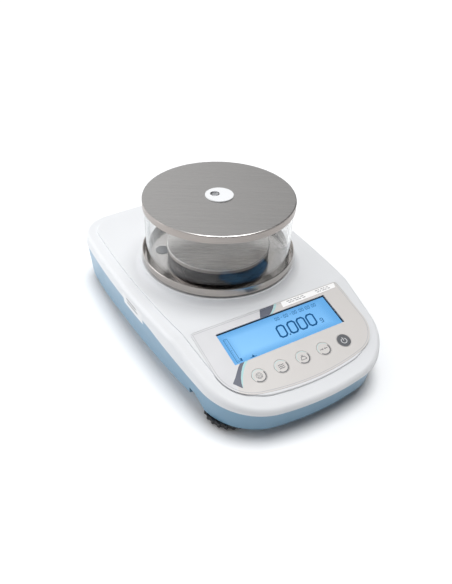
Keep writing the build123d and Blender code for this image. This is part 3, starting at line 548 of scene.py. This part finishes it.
def film_outline(inset, steps=14):
    """Outline of the film, drawn inset from its edge: straight top, round lower corners."""
    half = (FILM_HIGH.x - FILM_LOW.x) / 2 / MM - inset
    middle = (FILM_HIGH.x + FILM_LOW.x) / 2 / MM
    radius, top, low = FILM_FRONT_R - inset, FILM_EDGE + inset, FILM_FRONT - inset
    corner = FILM_CORNER_R - inset
    reach = math.sqrt((radius - corner) ** 2 - (half - corner) ** 2)
    centre = low - radius
    corner_down = centre + reach
    swing = math.degrees(math.asin((half - corner) / (radius - corner)))
    points = [(middle - half, top), (middle + half, top)]
    for i in range(steps + 1):
        a = math.radians((90 - swing) * i / steps)
        points.append((middle + half - corner + corner * math.cos(a), corner_down + corner * math.sin(a)))
    for i in range(1, 2 * steps):
        a = math.radians(90 - swing + swing * i / steps)
        points.append((middle + radius * math.cos(a), centre + radius * math.sin(a)))
    for i in range(steps + 1):
        a = math.radians(90 + swing + (90 - swing) * i / steps)
        points.append((middle - half + corner + corner * math.cos(a), corner_down + corner * math.sin(a)))
    return points


def film_line():
    """Thin grey line printed just inside the film's edge."""
    grey = moulded("print_grey", (0.42, 0.43, 0.45), rough=0.4, grain=0.08)
    bm = bmesh.new()
    band(bm, film_outline(1.9), film_outline(1.45), on_panel, 0.0, PRINT_T)
    add_piece("print_edge_line", bm, grey, "base")


def plain_labels():
    """Blank white strips with short plain bars; they carry no lettering."""
    white = moulded("label_white", (0.93, 0.925, 0.92), rough=0.32, grain=0.03)
    grey = moulded("label_bars", (0.30, 0.30, 0.31), rough=0.4, grain=0.05)
    printed("label_panel", [LABEL_STRIP], white, lift=LABEL_LIFT, thick=0.08)
    bars = []
    for start, wide in LABEL_BAR_GROUPS:
        for row in range(2):
            top = LABEL_ROW_TOP + row * LABEL_ROW_STEP
            for i in range(LABEL_BARS):
                x = start + i * (wide + LABEL_BAR_GAP) + row * LABEL_ROW_SHIFT
                bars.append(plate(x, top, x + wide - (i % 2) * 0.8, top + LABEL_BAR_H))
    printed("label_panel_bars", bars, grey, lift=LABEL_LIFT + 0.09, thick=0.03)


def on_side(y, z, lift):
    """Point on the body's left side in metres, found by looking in from outside along +X."""
    reach = []
    outside = Vector((-1.0, y * MM, z * MM))
    for name in ("upper_housing", "lower_housing"):
        hit, place, _, _ = frame["nodes"][name].ray_cast(outside, Vector((1, 0, 0)))
        if hit:
            reach.append(place.x)
    return Vector((min(reach) - lift * MM, y * MM, z * MM))


def side_sheet(bm, y0, y1, z0, z1, lift, thick, across=14, rise=10):
    """Thin closed sheet that follows the side wall between two lengths and two heights."""
    grids = []
    for level in (lift, lift + thick):
        grids.append([[bm.verts.new(on_side(y0 + (y1 - y0) * i / across, z0 + (z1 - z0) * j / rise, level))
                       for j in range(rise + 1)] for i in range(across + 1)])
    for low, grid in enumerate(grids):
        for i in range(across):
            for j in range(rise):
                bm.faces.new([grid[i][j], grid[i + 1][j], grid[i + 1][j + 1], grid[i][j + 1]])
    inner, outer = grids
    border = [(i, 0) for i in range(across)] + [(across, j) for j in range(rise)]
    border += [(i, rise) for i in range(across, 0, -1)] + [(0, j) for j in range(rise, 0, -1)]
    for (i, j), (k, m) in zip(border, border[1:] + border[:1]):
        bm.faces.new([inner[i][j], inner[k][m], outer[k][m], outer[i][j]])


def side_label():
    """Blank white sticker over the split line, with two plain bars in place of any lettering."""
    white = moulded("label_side_white", (0.74, 0.745, 0.75), rough=0.3, grain=0.03)
    bm = bmesh.new()
    side_sheet(bm, *SIDE_LABEL, 0.06, 0.08)
    add_piece("label_side", bm, white, "base")
    bm = bmesh.new()
    for place in SIDE_BARS:
        side_sheet(bm, *place, 0.16, 0.04, across=10, rise=2)
    add_piece("label_side_bars", bm, bpy.data.materials["label_bars"], "base")


def dimple_ring():
    """Grey steel eyelet round the off-centre dimple of the lid's white disc."""
    around, section = 48, 12
    low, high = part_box("lid_insert")
    centre = Vector(((low.x + high.x) / 2, (low.y + high.y) / 2, high.z)) + Vector(DIMPLE_OFFSET) * MM
    steel = machined("eyelet_steel", (0.22, 0.22, 0.23), rough=0.35)
    bm = bmesh.new()
    profile = [(EYELET_R + EYELET_T * math.cos(a), EYELET_T * 0.55 * math.sin(a))
               for a in (math.tau * i / section for i in range(section))]
    rings = []
    for i in range(around):
        turn = math.tau * i / around
        rings.append([bm.verts.new(centre + Vector((r * math.cos(turn), r * math.sin(turn), z)) * MM)
                      for r, z in profile])
    for i in range(around):
        for j in range(section):
            k, m = (i + 1) % around, (j + 1) % section
            bm.faces.new([rings[i][j], rings[k][j], rings[k][m], rings[i][m]])
    add_piece("lid_insert_eyelet", bm, steel, "lid")


# ------------------------------------------------------------------ display
def segment_outlines(x, top, height, width, stroke, lit, gap=0.10):
    """Strokes of a seven-segment figure with mitred ends."""
    half, mid, low = stroke / 2, top + height / 2, top + height
    corners = {
        "a": ((x, top), (x + width, top)), "b": ((x + width, top), (x + width, mid)),
        "c": ((x + width, mid), (x + width, low)), "d": ((x, low), (x + width, low)),
        "e": ((x, mid), (x, low)), "f": ((x, top), (x, mid)), "g": ((x, mid), (x + width, mid)),
    }
    shapes = []
    for name in lit:
        (x0, d0), (x1, d1) = corners[name]
        lean = [SLANT * (low - d) for d in (d0, d1)]
        start, end = Vector((x0 + lean[0], d0)), Vector((x1 + lean[1], d1))
        along = (end - start).normalized()
        side = Vector((-along.y, along.x)) * half
        start, end = start + along * gap, end - along * gap
        tip = along * half
        shape = (start, start + tip + side, end - tip + side, end, end - tip - side, start + tip - side)
        shapes.append([tuple(p) for p in shape])
    return shapes


def zero_outline(x, top, height, width, stroke):
    """A zero as the display shows it: one loop with cut corners, as inner and outer lines."""
    lines = []
    for inset, cut in ((stroke / 2, 1.5), (-stroke / 2, 2.3)):
        x0, x1 = x + inset, x + width - inset
        d0, d1 = top + inset, top + height - inset
        points = [(x0 + cut, d0), (x1 - cut, d0), (x1, d0 + cut), (x1, d1 - cut),
                  (x1 - cut, d1), (x0 + cut, d1), (x0, d1 - cut), (x0, d0 + cut)]
        lines.append([(px + SLANT * (top + height - pd), pd) for px, pd in points])
    return lines


def display_figures():
    """Main figures with their unit, the clock line above and the marks at the left."""
    ink = moulded("lcd_ink", (0.006, 0.10, 0.26), rough=0.6, specular=0.1, grain=0.05)
    pale = moulded("lcd_ink_pale", (0.02, 0.14, 0.33), rough=0.6, specular=0.1, grain=0.05)
    bm = bmesh.new()
    for x in DIGIT_X:
        inner, outer = zero_outline(x, DIGIT_TOP, DIGIT_H, DIGIT_W, DIGIT_STROKE)
        band(bm, inner, outer, on_panel, INK_LIFT, INK_LIFT + PRINT_T)
    prism(bm, plate(*DECIMAL_POINT), on_panel, INK_LIFT, INK_LIFT + PRINT_T)
    add_piece("display_digits", bm, ink, "base")
    unit = segment_outlines(*UNIT, "abcdfg", 0.05)
    printed("display_unit", unit, ink, lift=INK_LIFT)
    small = []
    for start in CLOCK_PAIRS:
        for x in (start, start + CLOCK_STEP):
            small += segment_outlines(x, CLOCK_TOP, *CLOCK_FIGURE, "abcdef", 0.04)
    for x in CLOCK_DASHES:
        small += segment_outlines(x, CLOCK_TOP, *CLOCK_FIGURE, "g", 0.04)
    printed("display_date", small, pale, lift=INK_LIFT)
    capacity_bar(ink)


def capacity_bar(ink):
    """Load bar with its scale ticks, and two small status marks."""
    (x0, x1), (d0, d1), (d2, d3) = LOAD_BAR_X, LOAD_BAR_LEFT, LOAD_BAR_RIGHT
    sides = ((x0, d0, x0, d1), (x1, d2, x1, d3), (x0, d0, x1, d2), (x0, d1, x1, d3))
    shapes = [bar(*side, 0.32) for side in sides]
    for i in range(TICKS):
        down = TICK_TOP + i * TICK_STEP
        shapes.append(bar(TICK_X, down, TICK_X + (1.3 if i % 5 == 0 else 0.7), down, 0.36))
    shapes.append(plate(-51.4, 41.6, -49.9, 44.6))
    shapes.append([(-40.6, 45.2), (-37.2, 45.2), (-38.9, 42.4)])
    shapes.append(bar(-42.4, 44.9, -35.6, 44.9, 0.4))
    printed("display_marks", shapes, ink, lift=INK_LIFT)


def display_gasket():
    """Black foam frame between the window and the display; its edges show as dark lines."""
    black = moulded("gasket_foam", (0.008, 0.014, 0.03), rough=0.8, grain=0.5, grain_scale=1800.0)
    lines = []
    for grow in (-0.45, -0.04):
        w, h = WINDOW_W / 2 + grow, WINDOW_H / 2 + grow
        lines.append([(WINDOW_X - w, WINDOW_MID - h), (WINDOW_X + w, WINDOW_MID - h),
                      (WINDOW_X + w, WINDOW_MID + h), (WINDOW_X - w, WINDOW_MID + h)])
    bm = bmesh.new()
    band(bm, lines[0], lines[1], on_panel, -DISPLAY_DEPTH + 0.1, GASKET_TOP)
    add_piece("display_gasket", bm, black, "base")


# ------------------------------------------------------------------ key art
def key_icons(x, d):
    """Plain symbols for the five keys, as lists of outlines round the key's centre."""
    sheet = [bar(x - 1.5, d - 1.8, x + 1.0, d - 1.8, 0.35), bar(x + 1.6, d - 1.1, x + 1.6, d + 1.9, 0.35),
             bar(x - 1.6, d + 1.9, x + 1.6, d + 1.9, 0.35), bar(x - 1.6, d - 1.9, x - 1.6, d + 1.9, 0.35),
             bar(x - 0.8, d - 0.5, x + 0.8, d - 0.5, 0.35), bar(x - 0.8, d + 0.6, x + 0.8, d + 0.6, 0.35),
             arc(x, d, 2.7, 3.05, 0, 359.9, 36)]
    lines = [bar(x - 2.9 + s, d + row * 1.7 + lift, x - 0.9 + s, d + row * 1.7 - lift, 0.6)
             for row in (-1, 0, 1) for s, lift in ((0.0, 0.3), (1.9, -0.3), (3.8, 0.3))]
    weight = [bar(x - 3.0, d + 2.2, x + 3.0, d + 2.2, 0.5), bar(x - 2.9, d + 2.2, x - 1.8, d - 0.7, 0.5),
              bar(x + 2.9, d + 2.2, x + 1.8, d - 0.7, 0.5), bar(x - 2.0, d - 0.7, x + 2.0, d - 0.7, 0.5),
              arc(x, d - 1.7, 0.6, 1.05, 0, 359.9, 20)]
    arrows = [bar(x - 4.2, d, x - 1.5, d, 0.55), bar(x + 1.5, d, x + 4.2, d, 0.55),
              [(x - 1.7, d - 1.0), (x - 0.4, d), (x - 1.7, d + 1.0)],
              [(x + 1.7, d - 1.0), (x + 1.7, d + 1.0), (x + 0.4, d)]]
    power = [arc(x, d + 0.3, 2.4, 3.1, 122, 418, 30), bar(x, d - 3.5, x, d + 0.2, 0.75)]
    return dict(zip(KEYS, (sheet, lines, weight, arrows, power)))


def key_art():
    """Symbols and rings on the keys, and the tick above each one."""
    dark = moulded("print_charcoal", (0.085, 0.09, 0.10), rough=0.42, grain=0.08)
    teal = moulded("print_mint", (0.46, 0.67, 0.66), rough=0.42, grain=0.08)
    pale = moulded("print_light", (0.62, 0.63, 0.65), rough=0.42, grain=0.08)
    for name in KEYS:
        x, down = key_centre(name)
        body = f"{name}_key"
        icon = key_icons(x, down)[name]
        printed(f"key_tick_{name}", [bar(x - 0.9, down - 8.6, x - 0.2, down - 7.6, 0.4)], pale)
        if name == "power":
            printed("key_face_power", [disc(x, down, 6.7)], dark, body)
            printed("key_icon_power", icon, pale, body, lift=PRINT_T * 1.2)
            continue
        printed(f"key_arc_dark_{name}", [arc(x, down, 5.5, 6.5, -140, 22)], dark, body)
        printed(f"key_arc_light_{name}", [arc(x, down, 5.9, 6.35, 35, 200)], teal, body)
        printed(f"key_icon_{name}", icon, dark, body)


# ------------------------------------------------------------------ floor, light, camera
def set_stage():
    """White floor that reaches past the horizon of every view."""
    half = FLOOR_HALF * MM
    bm = bmesh.new()
    corners = ((-half, -half), (half, -half), (half, half), (-half, half))
    bm.faces.new([bm.verts.new((x, y, -FLOOR_DROP * MM)) for x, y in corners])
    mesh = bpy.data.meshes.new("floor")
    bm.to_mesh(mesh)
    bm.free()
    g = Graph("floor_white")
    tint = g.mix(g.noise(3.0), (0.93, 0.93, 0.94, 1), (0.95, 0.95, 0.95, 1))
    shader = g.principled(tint, 0.9)
    shader.inputs["Specular IOR Level"].default_value = 0.1
    mesh.materials.append(g.finish(shader))
    floor = bpy.data.objects.new("floor", mesh)
    bpy.context.scene.collection.objects.link(floor)


def set_world():
    """Soft studio surround: bright behind and to the left, dimmer in front."""
    world = bpy.data.worlds.new("studio")
    world.use_nodes = True
    tree = world.node_tree
    tree.nodes.clear()
    coordinates = tree.nodes.new("ShaderNodeTexCoord")
    split = tree.nodes.new("ShaderNodeSeparateXYZ")
    tree.links.new(coordinates.outputs["Generated"], split.inputs[0])
    lean = tree.nodes.new("ShaderNodeMath")
    lean.operation = "MULTIPLY_ADD"
    tree.links.new(split.outputs[0], lean.inputs[0])
    lean.inputs[1].default_value = WORLD_LEAN
    tree.links.new(split.outputs[1], lean.inputs[2])
    spread = tree.nodes.new("ShaderNodeMapRange")
    tree.links.new(lean.outputs[0], spread.inputs[0])
    for index, value in ((1, -0.3), (2, 1.4), (3, WORLD_FRONT), (4, WORLD_REAR)):
        spread.inputs[index].default_value = value
    horizon = tree.nodes.new("ShaderNodeMapRange")
    tree.links.new(split.outputs[2], horizon.inputs[0])
    for index, value in ((1, 0.16), (2, 0.24), (3, WORLD_HORIZON), (4, 0.0)):
        horizon.inputs[index].default_value = value
    either = tree.nodes.new("ShaderNodeMath")
    either.operation = "MAXIMUM"
    tree.links.new(spread.outputs[0], either.inputs[0])
    tree.links.new(horizon.outputs[0], either.inputs[1])
    light = tree.nodes.new("ShaderNodeBackground")
    light.inputs["Color"].default_value = (0.97, 0.98, 1.0, 1)
    tree.links.new(either.outputs[0], light.inputs["Strength"])
    output = tree.nodes.new("ShaderNodeOutputWorld")
    tree.links.new(light.outputs[0], output.inputs["Surface"])
    bpy.context.scene.world = world


def soft_box(name, at, aim, size, power):
    lamp = bpy.data.lights.new(name, "AREA")
    lamp.shape = "RECTANGLE"
    lamp.size, lamp.size_y = size[0] * MM, size[1] * MM
    lamp.energy = power
    box = bpy.data.objects.new(name, lamp)
    bpy.context.scene.collection.objects.link(box)
    start, end = Vector(at) * MM, Vector(aim) * MM
    box.location = start
    box.rotation_euler = (end - start).to_track_quat("-Z", "Y").to_euler()


def set_lights():
    """Two soft boxes and a broad light from nearly overhead."""
    for name, settings in SOFT_BOXES.items():
        soft_box(name, *settings)
    lamp = bpy.data.lights.new("overhead", "SUN")
    lamp.energy = SUN_POWER
    lamp.angle = math.radians(SUN_SPREAD)
    sun = bpy.data.objects.new("overhead", lamp)
    sun.rotation_euler = Vector(SUN_TOWARDS).to_track_quat("-Z", "Y").to_euler()
    bpy.context.scene.collection.objects.link(sun)


def set_camera():
    """Camera from its place, azimuth, angle below level and roll."""
    azimuth, down, roll = (math.radians(a) for a in (CAMERA_AZIMUTH, CAMERA_DOWN, CAMERA_ROLL))
    flat = math.cos(down)
    ahead = Vector((-math.sin(azimuth) * flat, math.cos(azimuth) * flat, -math.sin(down)))
    level = Vector((math.cos(azimuth), math.sin(azimuth), 0))
    over = level.cross(ahead)
    right = level * math.cos(roll) + over * math.sin(roll)
    up = over * math.cos(roll) - level * math.sin(roll)
    turn = Matrix((right, up, -ahead)).transposed()
    data = bpy.data.cameras.new("camera")
    data.lens = CAMERA_LENS
    data.sensor_width = 36.0
    data.clip_start = 0.01
    camera = bpy.data.objects.new("camera", data)
    camera.matrix_world = Matrix.Translation(Vector(CAMERA_AT) * MM) @ turn.to_4x4()
    bpy.context.scene.collection.objects.link(camera)
    bpy.context.scene.camera = camera


set_stage()
set_world()
set_lights()
set_camera()
bpy.context.scene.view_settings.view_transform = "Standard"
finish_cad_nodes()
swoosh()
film_line()
plain_labels()
side_label()
dimple_ring()
display_gasket()
display_figures()
key_art()
